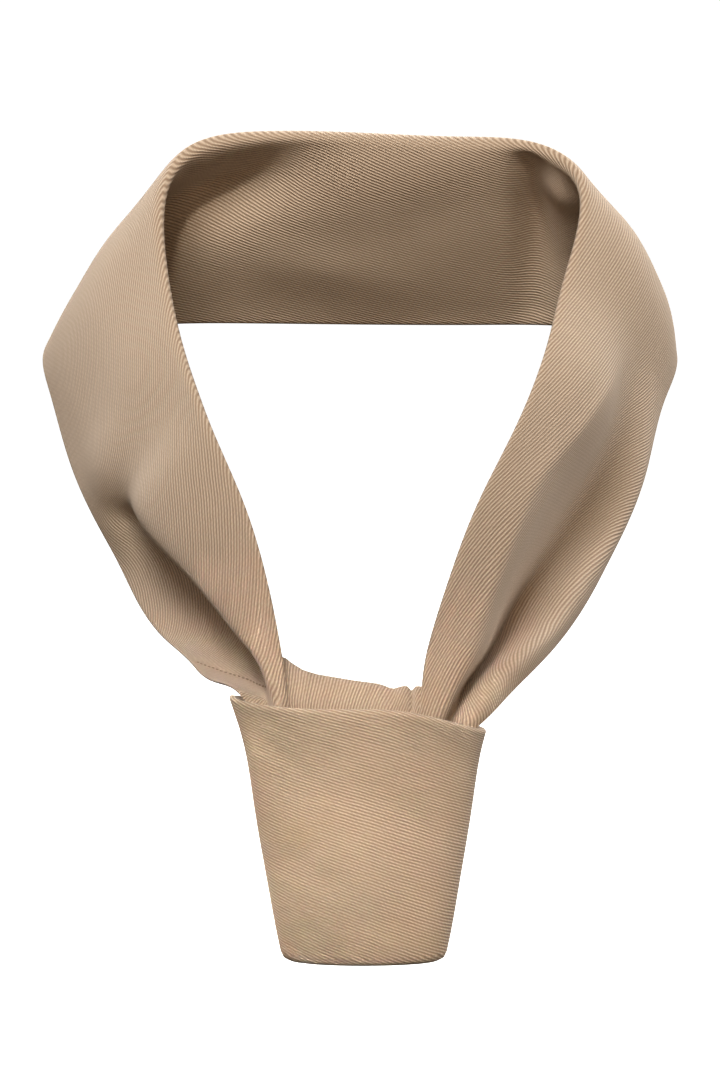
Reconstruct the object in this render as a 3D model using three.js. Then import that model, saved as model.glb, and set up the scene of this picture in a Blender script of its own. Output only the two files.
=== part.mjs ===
// Triangle scarf, worn: a folded twill band that lies round the neck, both of its arms passed
// through a wide wrapped knot, and the last pass of the cloth tucked over the knot's back rim.
// Millimetres, +Z up, the front of the wearer towards -Y, +X to the right of a viewer in front.
// The origin is the middle of the neck opening.
import * as THREE from "three";

// Driving sizes of the cloth
const WALL = 2.5;                // thickness of the folded cloth in the knot and its tuck
const BAND_SECTIONS = 78;        // sections along the band
const KNOT_COLUMNS = 48;         // columns round the knot
const TUCK_SECTIONS = 30;        // sections along the tucked pass

// The band, a row for each section from the left arm's hidden end, up round the nape, to the
// right arm's. neck: the folded edge that lies against the neck. hem: the other long edge.
// The cloth runs from neck to hem through three points, each at a share of the straight width
// from the neck edge, and so far out from it: the crest of the neck layer, the bottom of the
// lengthwise fold, and the lip of the hem layer. Where these lie close together, the wall
// between them is steep. roll: radius of the soft neck edge. half: half the cloth's thickness.
const BAND = [
  { neck: [-12, -73.5, -118], hem: [-24, -73.5, -117],
    crest: [0.25, 0.6], fold: [0.5, -0.8], lip: [0.75, 0.3], roll: 1.2, half: 1.1 },
  { neck: [-16, -71.5, -92], hem: [-28.2, -70.3, -92],
    crest: [0.25, 1.2], fold: [0.5, -1.4], lip: [0.75, 0], roll: 1.1, half: 0.9 },
  { neck: [-20.3, -70.3, -74], hem: [-32.3, -68.4, -72],
    crest: [0.22, 1.4], fold: [0.44, -2], lip: [0.76, -0.6], roll: 1.1, half: 0.8 },
  { neck: [-20.9, -69.2, -69.5], hem: [-37, -64.8, -67.2],
    crest: [0.2, 2], fold: [0.4, -3.6], lip: [0.75, -1.6], roll: 1.1, half: 0.8 },
  { neck: [-21.4, -68, -65], hem: [-42.2, -60.2, -66.6],
    crest: [0.18, 2.8], fold: [0.35, -6.3], lip: [0.74, -3], roll: 1.1, half: 0.8 },
  { neck: [-22.7, -65, -56], hem: [-49.3, -44, -66.1],
    crest: [0.22, 4.8], fold: [0.32, -11.2], lip: [0.75, -6.4], roll: 1.4, half: 1 },
  { neck: [-26.6, -58, -38], hem: [-58.2, -23, -64.2],
    crest: [0.33, 7], fold: [0.41, -10.8], lip: [0.78, -5.6], roll: 1.8, half: 1.2 },
  { neck: [-33, -46, -19], hem: [-66.2, -8, -57.7],
    crest: [0.47, 8], fold: [0.59, -6.6], lip: [0.83, -3.8], roll: 2.2, half: 1.4 },
  { neck: [-43.2, -27, 0], hem: [-74, 7, -45.6],
    crest: [0.575, 6.9], fold: [0.79, -0.4], lip: [0.91, 0.4], roll: 2.6, half: 1.5 },
  { neck: [-47.9, -15.8, 8.6], hem: [-79.5, 12.6, -36.5],
    crest: [0.48, 5.2], fold: [0.76, 4.4], lip: [0.91, 1.9], roll: 2.7, half: 1.5 },
  { neck: [-52.3, -2, 18], hem: [-86.2, 26, -26],
    crest: [0.4, 5], fold: [0.7, 4.5], lip: [0.88, 2.3], roll: 2.8, half: 1.5 },
  { neck: [-58.2, 24, 37], hem: [-94.4, 48, -6.5],
    crest: [0.27, 4], fold: [0.52, 4.9], lip: [0.78, 3.2], roll: 3, half: 1.5 },
  { neck: [-59.5, 48, 57.5], hem: [-93.8, 67, 5.4],
    crest: [0.25, 3.1], fold: [0.5, 3.7], lip: [0.75, 2.6], roll: 3, half: 1.5 },
  { neck: [-51.6, 60, 68.5], hem: [-71, 84, 6.9],
    crest: [0.25, 0.3], fold: [0.5, 0.2], lip: [0.75, 0.2], roll: 3.2, half: 1.5 },
  { neck: [-28, 66, 72], hem: [-36, 88, 7],
    crest: [0.22, -3.6], fold: [0.47, -3.8], lip: [0.75, -2.2], roll: 3.4, half: 1.5 },
  { neck: [30, 66, 70.3], hem: [38, 88, 6.5],
    crest: [0.22, -3.6], fold: [0.47, -3.8], lip: [0.75, -2.2], roll: 3.4, half: 1.5 },
  { neck: [56.2, 60.3, 68.4], hem: [73, 84, 6.2],
    crest: [0.25, 1.3], fold: [0.5, 1.5], lip: [0.75, 1], roll: 3.2, half: 1.5 },
  { neck: [67.3, 46, 58.2], hem: [95.2, 66.5, 3.4],
    crest: [0.25, 5.2], fold: [0.5, 6.6], lip: [0.75, 4.8], roll: 3, half: 1.5 },
  { neck: [62.2, 24, 37], hem: [92.5, 48, -9],
    crest: [0.32, 5.6], fold: [0.58, 5.2], lip: [0.82, 3.2], roll: 3, half: 1.5 },
  { neck: [55.6, -2, 20], hem: [85.5, 27, -27],
    crest: [0.4, 6.4], fold: [0.745, -0.8], lip: [0.91, 2.5], roll: 2.8, half: 1.5 },
  { neck: [45, -27, 0], hem: [75.4, 4, -44],
    crest: [0.25, 6], fold: [0.835, -6], lip: [0.93, 2.4], roll: 2.6, half: 1.4 },
  { neck: [32.8, -46, -20], hem: [66.5, -17, -55],
    crest: [0.21, 6.2], fold: [0.765, -9], lip: [0.87, 2.2], roll: 2.2, half: 1.3 },
  { neck: [24.5, -58, -40], hem: [58.8, -33, -61.6],
    crest: [0.26, 6], fold: [0.72, -9.5], lip: [0.83, 3.2], roll: 1.8, half: 1.1 },
  { neck: [19.1, -65, -57], hem: [50.6, -50, -66],
    crest: [0.36, 4.8], fold: [0.6, -8], lip: [0.73, 3.7], roll: 1.3, half: 0.9 },
  { neck: [17.8, -68, -66], hem: [42.8, -61, -70.8],
    crest: [0.34, 3.2], fold: [0.51, -5.5], lip: [0.71, 2.8], roll: 1.1, half: 0.8 },
  { neck: [17, -70.3, -75.5], hem: [36.4, -67.8, -75.7],
    crest: [0.3, 1.8], fold: [0.5, -2.6], lip: [0.75, 0.8], roll: 1.1, half: 0.8 },
  { neck: [16.7, -70.7, -79], hem: [32.2, -68.6, -79.6],
    crest: [0.28, 1.6], fold: [0.49, -2], lip: [0.76, 0.3], roll: 1.1, half: 0.8 },
  { neck: [15.5, -71.5, -92], hem: [28.8, -70.3, -94],
    crest: [0.25, 1.4], fold: [0.45, -1.5], lip: [0.75, 0.2], roll: 1.2, half: 1 },
  { neck: [12.5, -73.5, -117], hem: [25, -73.5, -118],
    crest: [0.25, 0.6], fold: [0.5, -0.8], lip: [0.75, 0.3], roll: 1.2, half: 1.1 },
];

// Soft presses in the flat cloth. along, across: the middle's distances along the band and from
// its neck edge. depth: away from the neck. halfLength, halfWidth: reach along its long way and
// across it. turn: of the long way from the band's length, in degrees.
const PRESSES = [
  { along: 262, across: 20, depth: 9.5, halfLength: 25, halfWidth: 10, turn: -20 },
  { along: 243, across: 36, depth: 3, halfLength: 9, halfWidth: 17, turn: 0 },
  { along: 359, across: 30, depth: 7.6, halfLength: 30, halfWidth: 6, turn: 98 },
  { along: 372, across: 17, depth: -3, halfLength: 12, halfWidth: 8, turn: -10 },
  { along: 372, across: 50, depth: 2.5, halfLength: 16, halfWidth: 14, turn: 0 },
  { along: 290, across: 45, depth: -0.9, halfLength: 22, halfWidth: 8, turn: 10 },
  { along: 325, across: 26, depth: 0.8, halfLength: 16, halfWidth: 9, turn: -30 },
  { along: 127, across: 47, depth: -2.4, halfLength: 13, halfWidth: 5, turn: 33 },
  { along: 470, across: 18.5, depth: 1, halfLength: 26, halfWidth: 3, turn: -16 },
  { along: 522, across: 12.6, depth: 1, halfLength: 32, halfWidth: 2.6, turn: 0 },
  { along: 524, across: 46, depth: -1.6, halfLength: 24, halfWidth: 3, turn: -18 },
];
const EDGE_HOLD = 4;             // a press fades out within this distance of either edge

// How far across from the neck edge its soft roll swells the inner face.
const ROLL_REACH = 14;
// Points across a section: close together at its two rounded edges.
const EDGE_STEPS = 3;
const BODY_STEPS = 14;

// The knot, a sleeve: a row for each level, from its foot to its rim.
// middleX, middleY: centre of the level. halfWidth, halfDepth: outer half sizes.
const KNOT_FOOT = -146.3;
const KNOT_RIM = -70;
const KNOT_BACK_DROP = 2.9;      // the rim lies this much lower at the back than at the front
const KNOT = [
  { level: 0.00, middleX: 1.1, halfWidth: 23.6, middleY: -76.5, halfDepth: 8.2 },
  { level: 0.08, middleX: 1.1, halfWidth: 24.9, middleY: -76, halfDepth: 8.8 },
  { level: 0.30, middleX: 1, halfWidth: 27.9, middleY: -74, halfDepth: 9.6 },
  { level: 0.60, middleX: 0.8, halfWidth: 31.6, middleY: -71, halfDepth: 10.2 },
  { level: 0.85, middleX: 0.3, halfWidth: 34.5, middleY: -68.6, halfDepth: 10.6 },
  { level: 1.00, middleX: -0.7, halfWidth: 37.4, middleY: -67.5, halfDepth: 10.8 },
];
// The lip turned under at the foot, a row for each point from inside to outside.
// rise: height above the foot. inset: distance in from the outer face.
const KNOT_LIP = [
  { rise: 3.2, inset: 3.2 },
  { rise: 2.6, inset: 5.0 },
  { rise: 2.3, inset: 6.6 },
  { rise: 1.3, inset: 7.2 },
  { rise: 0.3, inset: 6.4 },
  { rise: 0.0, inset: 4.4 },
  { rise: 0.25, inset: 2.2 },
  { rise: 1.4, inset: 0.4 },
];

// The tucked pass, a row for each point of its middle line: up behind the knot's back wall,
// over the rim, and down inside between the arms. y, z: place. halfWidth: across, in X.
// middleX: the middle of that width.
// middleX: the middle of that width.
// middleX: the middle of that width.
const TUCK = [
  { y: -61.4, z: -118, halfWidth: 14, middleX: 0.5 },
  { y: -58.7, z: -100, halfWidth: 17, middleX: 0 },
  { y: -56.3, z: -84, halfWidth: 19, middleX: -1.2 },
  { y: -54.9, z: -73.2, halfWidth: 21, middleX: -2.3 },
  { y: -55.6, z: -69.7, halfWidth: 21.4, middleX: -2.5 },
  { y: -58.1, z: -68, halfWidth: 21.4, middleX: -2.5 },
  { y: -61.5, z: -69.2, halfWidth: 20.8, middleX: -2.3 },
  { y: -64.6, z: -71.8, halfWidth: 20.2, middleX: -2.2 },
  { y: -66.4, z: -75.2, halfWidth: 19.4, middleX: -2.1 },
  { y: -67, z: -81, halfWidth: 16, middleX: -1.2 },
  { y: -67.6, z: -90, halfWidth: 14, middleX: -0.6 },
  { y: -68, z: -100, halfWidth: 12, middleX: 0 },
];
const TUCK_BOW = 0.0025;         // the tuck curves forward by this times x squared
// How far the tuck's top edge rises or dips, a row for each place across it.
const TUCK_TOP = [
  { x: -24, rise: 8.6 },
  { x: -21.5, rise: 7.2 },
  { x: -20, rise: 5.7 },
  { x: -16.5, rise: 3.2 },
  { x: -12.5, rise: 1.8 },
  { x: -3, rise: 0 },
  { x: 4, rise: -0.9 },
  { x: 9.5, rise: -1.9 },
  { x: 15, rise: -1.4 },
  { x: 20, rise: -1.2 },
];
const TUCK_TOP_REACH = 14;       // how far down its legs that rise fades out

const CLOTH = { color: 0xbfa688, roughness: 0.85, metalness: 0 };

// Natural cubic spline through rows of numbers at rising places, as a function of the place.
function spline(places, rows) {
  const last = places.length - 1;
  const width = rows[0].length;
  const bends = rows.map(() => new Array(width).fill(0));
  for (let k = 0; k < width; k += 1) {
    const upper = new Array(last + 1).fill(0);
    const right = new Array(last + 1).fill(0);
    for (let i = 1; i < last; i += 1) {
      const before = places[i] - places[i - 1];
      const after = places[i + 1] - places[i];
      const turn = (rows[i + 1][k] - rows[i][k]) / after - (rows[i][k] - rows[i - 1][k]) / before;
      const pivot = 2 * (before + after) - before * upper[i - 1];
      upper[i] = after / pivot;
      right[i] = (6 * turn - before * right[i - 1]) / pivot;
    }
    for (let i = last - 1; i > 0; i -= 1) {
      bends[i][k] = right[i] - upper[i] * bends[i + 1][k];
    }
  }
  return (place) => {
    let i = 0;
    while (i < last - 1 && place > places[i + 1]) i += 1;
    const span = places[i + 1] - places[i];
    const a = place - places[i];
    const b = places[i + 1] - place;
    return rows[i].map((value, k) => {
      const curve = (bends[i][k] * b ** 3 + bends[i + 1][k] * a ** 3) / (6 * span);
      const start = (value / span - (bends[i][k] * span) / 6) * b;
      const end = (rows[i + 1][k] / span - (bends[i + 1][k] * span) / 6) * a;
      return curve + start + end;
    });
  };
}

function clamp(value, low, high) {
  return Math.min(Math.max(value, low), high);
}

// Straight steps between the rows of a two-column table.
function ramp(rows, key, column, at) {
  if (at <= rows[0][key]) return rows[0][column];
  for (let i = 1; i < rows.length; i += 1) {
    if (at <= rows[i][key]) {
      const share = (at - rows[i - 1][key]) / (rows[i][key] - rows[i - 1][key]);
      return rows[i - 1][column] + share * (rows[i][column] - rows[i - 1][column]);
    }
  }
  return rows[rows.length - 1][column];
}

// A closed mesh from rings of points that share their order. An open run of rings is capped by
// joining point j to its partner across the ring; a closed run joins its last ring to its first.
function shell(rings, closedRun) {
  const count = rings[0].length;
  const positions = rings.flat().flatMap((p) => [p.x, p.y, p.z]);
  const faces = [];
  const runs = closedRun ? rings.length : rings.length - 1;
  for (let i = 0; i < runs; i += 1) {
    const here = i * count;
    const there = ((i + 1) % rings.length) * count;
    for (let j = 0; j < count; j += 1) {
      const k = (j + 1) % count;
      faces.push(here + j, there + j, there + k);
      faces.push(here + j, there + k, here + k);
    }
  }
  if (!closedRun) {
    const end = (rings.length - 1) * count;
    for (let j = 0; j < count / 2; j += 1) {
      const k = j + 1;
      const a = (count - j) % count;
      const b = count - k;
      if (a !== j) {
        faces.push(j, k, a);
        faces.push(end + j, end + a, end + k);
      }
      if (b !== k) {
        faces.push(k, b, a);
        faces.push(end + k, end + a, end + b);
      }
    }
  }
  const geometry = new THREE.BufferGeometry();
  geometry.setAttribute("position", new THREE.Float32BufferAttribute(positions, 3));
  geometry.setIndex(faces);
  return facingOut(geometry);
}

// Turns every triangle round if the mesh's signed volume is negative.
function facingOut(geometry) {
  const p = geometry.getAttribute("position");
  const index = geometry.getIndex();
  const corner = (i) => new THREE.Vector3().fromBufferAttribute(p, index.getX(i));
  let volume = 0;
  for (let i = 0; i < index.count; i += 3) {
    volume += corner(i).dot(corner(i + 1).cross(corner(i + 2)));
  }
  if (volume < 0) {
    for (let i = 0; i < index.count; i += 3) {
      const second = index.getX(i + 1);
      index.setX(i + 1, index.getX(i + 2));
      index.setX(i + 2, second);
    }
  }
  geometry.computeVertexNormals();
  return geometry;
}

// Places across the cloth, in millimetres from its neck edge, for cloth of this full width.
function placesAcross(width, roll, half) {
  const places = [];
  for (let i = 0; i < EDGE_STEPS; i += 1) {
    places.push(roll * (1 - Math.cos((Math.PI / 2) * (i / EDGE_STEPS))));
  }
  for (let i = 0; i <= BODY_STEPS; i += 1) {
    places.push(roll + (width - roll - half) * (i / BODY_STEPS));
  }
  for (let i = EDGE_STEPS - 1; i >= 0; i -= 1) {
    places.push(width - half * (1 - Math.cos((Math.PI / 2) * (i / EDGE_STEPS))));
  }
  return places;
}

// The cloth's middle line across a section, as (along the straight width, out from it), by
// distance along the cloth. It is a spline through the neck, crest, fold, lip and hem.
function clothLine(row, width) {
  const inside = [row.crest, row.fold, row.lip].map(([share, out]) => [share * width, out]);
  const points = [[0, 0], ...inside, [width, 0]];
  const knots = [0];
  for (let i = 1; i < points.length; i += 1) {
    const step = Math.hypot(points[i][0] - points[i - 1][0], points[i][1] - points[i - 1][1]);
    knots.push(knots[i - 1] + step);
  }
  const at = spline(knots, points);
  const steps = 120;
  const line = [];
  for (let i = 0; i <= steps; i += 1) {
    const [along, out] = at((knots[4] * i) / steps);
    const last = line[i - 1];
    const distance = last ? last.distance + Math.hypot(along - last.along, out - last.out) : 0;
    line.push({ distance, along, out });
  }
  return line;
}

// How far the presses move the cloth away from the neck, at a place of cloth this wide.
function pressed(along, across, width) {
  let depth = 0;
  for (const press of PRESSES) {
    const turn = THREE.MathUtils.degToRad(press.turn);
    const u = along - press.along;
    const v = across - press.across;
    const p = (u * Math.cos(turn) + v * Math.sin(turn)) / press.halfLength;
    const q = (v * Math.cos(turn) - u * Math.sin(turn)) / press.halfWidth;
    depth += press.depth * Math.exp(-p * p - q * q);
  }
  const nearNeck = Math.exp(-((across / EDGE_HOLD) ** 2));
  const nearHem = Math.exp(-(((width - across) / EDGE_HOLD) ** 2));
  return depth * (1 - nearNeck) * (1 - nearHem);
}

// One ring of the band: the outer face from the neck edge to the hem, then back inside.
function bandRing(row, neck, hem, tangent, distance) {
  const chord = hem.clone().sub(neck);
  const straight = chord.length();
  chord.normalize();
  const outward = tangent.clone().cross(chord).normalize();
  const { roll, half } = row;
  const line = clothLine(row, straight);
  const width = line[line.length - 1].distance;
  const read = (place) => {
    const along = ramp(line, "distance", "along", place);
    return new THREE.Vector2(along, ramp(line, "distance", "out", place));
  };
  const outer = [];
  const inner = [];
  for (const place of placesAcross(width, roll, half)) {
    const here = read(place);
    const slope = read(place + 0.4).sub(read(place - 0.4)).normalize();
    const nearEdge = Math.min(place / roll, 1);
    const farEdge = Math.min((width - place) / half, 1);
    const closing = Math.sqrt(1 - (1 - nearEdge) ** 2) * Math.sqrt(1 - (1 - farEdge) ** 2);
    const swell = Math.exp(-((Math.max(place - roll, 0) / ROLL_REACH) ** 2));
    const push = pressed(distance, place, width);
    const put = (lift) => {
      const a = here.x - slope.y * lift * closing;
      const h = here.y + slope.x * lift * closing + push;
      return neck.clone().addScaledVector(chord, a).addScaledVector(outward, h);
    };
    outer.push(put(half));
    inner.push(put(-half - (roll - half) * swell));
  }
  return [...outer, ...inner.slice(1, -1).reverse()];
}

function neckBand() {
  const rows = BAND.map((r) => [
    ...r.neck, ...r.hem, ...r.crest, ...r.fold, ...r.lip, r.roll, r.half,
  ]);
  const middles = BAND.map((r) => {
    return new THREE.Vector3(...r.neck).add(new THREE.Vector3(...r.hem)).multiplyScalar(0.5);
  });
  const places = [0];
  for (let i = 1; i < middles.length; i += 1) {
    places.push(places[i - 1] + middles[i].distanceTo(middles[i - 1]));
  }
  const at = spline(places, rows);
  const length = places[places.length - 1];
  const middle = (s) => {
    const v = at(clamp(s, 0, length));
    return new THREE.Vector3(v[0] + v[3], v[1] + v[4], v[2] + v[5]).multiplyScalar(0.5);
  };
  const rings = [];
  for (let i = 0; i < BAND_SECTIONS; i += 1) {
    const s = (length * i) / (BAND_SECTIONS - 1);
    const v = at(s);
    const tangent = middle(s + 1).sub(middle(s - 1)).normalize();
    const row = {
      crest: v.slice(6, 8),
      fold: v.slice(8, 10),
      lip: v.slice(10, 12),
      roll: v[12],
      half: v[13],
    };
    const neck = new THREE.Vector3(...v.slice(0, 3));
    const hem = new THREE.Vector3(...v.slice(3, 6));
    rings.push(bandRing(row, neck, hem, tangent, s));
  }
  return shell(rings, false);
}

// How far the knot's rim lies below its level at x: it drops towards the right corner and
// rises a little at the left one.
function rimDrop(x) {
  const right = 8.5 * clamp((x - 4) / 32, 0, 1.2) ** 1.8;
  const left = 1.5 * clamp((-x - 12) / 25, 0, 1.2) ** 2;
  return right - left;
}

// Closed profile of the knot's wall as (rise above the foot, inset from the outer face).
function knotProfile() {
  const height = KNOT_RIM - KNOT_FOOT;
  const half = WALL / 2;
  const profile = [];
  for (let i = 0; i <= 8; i += 1) {
    profile.push({ rise: 3 + ((height - half - 3) * i) / 8, inset: 0 });
  }
  for (let i = 1; i < 4; i += 1) {
    const angle = (Math.PI * i) / 4;
    const rise = height - half + half * Math.sin(angle);
    profile.push({ rise, inset: half - half * Math.cos(angle) });
  }
  for (let i = 8; i >= 0; i -= 1) {
    profile.push({ rise: 4.4 + ((height - half - 4.4) * i) / 8, inset: WALL });
  }
  return [...profile, ...KNOT_LIP];
}

function knotWrap() {
  const height = KNOT_RIM - KNOT_FOOT;
  const levels = KNOT.map((r) => r.level);
  const at = spline(levels, KNOT.map((r) => [r.middleX, r.halfWidth, r.middleY, r.halfDepth]));
  const profile = knotProfile();
  const rings = [];
  for (let i = 0; i < KNOT_COLUMNS; i += 1) {
    const angle = (2 * Math.PI * i) / KNOT_COLUMNS;
    const across = Math.sign(Math.cos(angle)) * Math.abs(Math.cos(angle)) ** 0.92;
    const back = -Math.sign(Math.sin(angle)) * Math.abs(Math.sin(angle)) ** 0.8;
    rings.push(profile.map(({ rise, inset }) => {
      const level = rise / height;
      const [middleX, halfWidth, middleY, halfDepth] = at(level);
      const x = middleX + across * (halfWidth - inset);
      const y = middleY + back * Math.max(halfDepth - inset, 0.3);
      const drop = rimDrop(x) + KNOT_BACK_DROP * Math.max(back, 0);
      return new THREE.Vector3(x, y, KNOT_FOOT + rise - drop * level ** 3);
    }));
  }
  return shell(rings, true);
}

function tuckPass() {
  const places = [0];
  for (let i = 1; i < TUCK.length; i += 1) {
    places.push(places[i - 1] + Math.hypot(TUCK[i].y - TUCK[i - 1].y, TUCK[i].z - TUCK[i - 1].z));
  }
  const at = spline(places, TUCK.map((r) => [r.y, r.z, r.halfWidth, r.middleX]));
  const length = places[places.length - 1];
  const top = places[5];
  const rings = [];
  for (let i = 0; i < TUCK_SECTIONS; i += 1) {
    const s = (length * i) / (TUCK_SECTIONS - 1);
    const [y, z, halfWidth, middleX] = at(s);
    const ahead = at(Math.min(s + 0.5, length));
    const behind = at(Math.max(s - 0.5, 0));
    const along = new THREE.Vector2(ahead[0] - behind[0], ahead[1] - behind[1]).normalize();
    const nearTop = Math.exp(-(((s - top) / TUCK_TOP_REACH) ** 2));
    const ring = [];
    for (let j = 0; j < 16; j += 1) {
      const angle = (2 * Math.PI * j) / 16;
      const x = middleX + halfWidth * Math.sign(Math.cos(angle)) * Math.abs(Math.cos(angle)) ** 0.35;
      const thick = (WALL / 2) * Math.sign(Math.sin(angle)) * Math.abs(Math.sin(angle)) ** 0.8;
      const rise = nearTop * ramp(TUCK_TOP, "x", "rise", x);
      const forward = y - along.y * thick - TUCK_BOW * x * x;
      ring.push(new THREE.Vector3(x, forward, z + along.x * thick + rise));
    }
    rings.push(ring);
  }
  return shell(rings, false);
}

function piece(name, geometry) {
  const mesh = new THREE.Mesh(geometry, new THREE.MeshStandardMaterial(CLOTH));
  mesh.name = name;
  return mesh;
}

const scarf = new THREE.Group();
scarf.add(piece("neck_band", neckBand()));
scarf.add(piece("knot_wrap", knotWrap()));
scarf.add(piece("tuck_pass", tuckPass()));

export default scarf;
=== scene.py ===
# %% [markdown]
# # A triangle scarf in twill, tied round an unseen neck
#
# The scarf is one triangle of cloth. It is folded into a band about 65 mm wide, laid round the
# neck, and tied in front with a broad wrapped knot. Three pieces show: the band with its two
# arms, the wrap of the knot, and the last pass of cloth, tucked over the knot's back rim.
#
# Each piece is a surface worked out with numpy from a short table of sections, in the frame of
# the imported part, so that the shown cloth lies where the solid cloth lies. Sizes are in
# millimetres in the tables and become metres once, when a mesh is made.

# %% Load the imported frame
import math
import bpy
import numpy as np
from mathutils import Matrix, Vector


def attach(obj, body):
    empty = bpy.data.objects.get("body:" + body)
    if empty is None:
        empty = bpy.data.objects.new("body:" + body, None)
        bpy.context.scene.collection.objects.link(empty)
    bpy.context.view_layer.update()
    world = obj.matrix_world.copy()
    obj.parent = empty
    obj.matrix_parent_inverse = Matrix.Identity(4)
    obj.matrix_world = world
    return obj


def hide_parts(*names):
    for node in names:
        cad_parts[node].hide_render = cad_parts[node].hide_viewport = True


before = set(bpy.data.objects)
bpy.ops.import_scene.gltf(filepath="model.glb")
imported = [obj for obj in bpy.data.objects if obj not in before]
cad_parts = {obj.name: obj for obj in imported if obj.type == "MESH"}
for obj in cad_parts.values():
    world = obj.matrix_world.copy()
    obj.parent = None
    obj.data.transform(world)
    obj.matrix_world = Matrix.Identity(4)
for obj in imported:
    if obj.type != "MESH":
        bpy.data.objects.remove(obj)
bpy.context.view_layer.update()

MM = 0.001

# %% [markdown]
# ## Smooth curves through a few sections
#
# Cloth bends evenly, with no corner where two measured sections meet. A chain of straight
# pieces would show each section as a crease. A natural cubic spline passes through every
# section and keeps its bend continuous, which is how a batten or a fold of stiff twill lies.

# %% Splines for many curves at once
def spline(knots, values, at):
    """Natural cubic spline, one curve for each row.

    knots (n, k) rise along each row, values (n, k, d) are met there, and at (n, m) are the
    places to read. The bends, which are the second derivatives at the knots, solve the usual
    three-term equations and are 0 at both ends. Between two knots the curve is the cubic with
    those bends, (bend0 b^3 + bend1 a^3) / 6h + (value0 / h - bend0 h / 6) b
    + (value1 / h - bend1 h / 6) a, a and b being the distances from the two knots."""
    knots, values, at = (np.asarray(a, float) for a in (knots, values, at))
    count = knots.shape[1]
    step = np.diff(knots, axis=1)
    slope = np.diff(values, axis=1) / step[..., None]
    system = np.zeros((len(knots), count, count))
    turn = np.zeros_like(values)
    system[:, 0, 0] = system[:, -1, -1] = 1
    for i in range(1, count - 1):
        system[:, i, i - 1] = step[:, i - 1]
        system[:, i, i] = 2 * (step[:, i - 1] + step[:, i])
        system[:, i, i + 1] = step[:, i]
        turn[:, i] = 6 * (slope[:, i] - slope[:, i - 1])
    bend = np.linalg.solve(system, turn)
    span = (at[..., None] >= knots[:, None, 1:-1]).sum(-1)
    here = lambda a: np.take_along_axis(a, span[..., None] if a.ndim == 3 else span, 1)
    there = lambda a: np.take_along_axis(a, span[..., None] + 1 if a.ndim == 3 else span + 1, 1)
    h = here(step)[..., None]
    a = at[..., None] - here(knots)[..., None]
    b = there(knots)[..., None] - at[..., None]
    curve = (here(bend) * b**3 + there(bend) * a**3) / (6 * h)
    curve += (here(values) / h - here(bend) * h / 6) * b
    curve += (there(values) / h - there(bend) * h / 6) * a
    return curve


def unit(v):
    """Each vector divided by its length."""
    return v / np.linalg.norm(v, axis=-1, keepdims=True)


def run(points):
    """Distance walked along each row of points, from 0."""
    steps = np.linalg.norm(np.diff(points, axis=-2), axis=-1)
    return np.concatenate([np.zeros(steps.shape[:-1] + (1,)), np.cumsum(steps, -1)], -1)


def read_rows(at, places, values):
    """Each row of values, known at places, read at the places at, in straight lines between."""
    return np.array([np.interp(a, p, v) for a, p, v in zip(at, places, values)])

# %% [markdown]
# ## The band's sections
#
# The band is a tube of cloth pressed flat, whose two long edges differ: the neck edge is a soft
# roll, and the hem edge is thin. Between them each arm has one lengthwise fold, where the neck
# layer stands up in a crest beside a valley, and it deepens towards the knot, which squeezes
# the width of the cloth into half the room. A cloth simulation could find such folds but not
# these ones, so the sections are given: 29 rows from the left arm's hidden end, up round the
# nape, to the right arm's.

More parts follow.
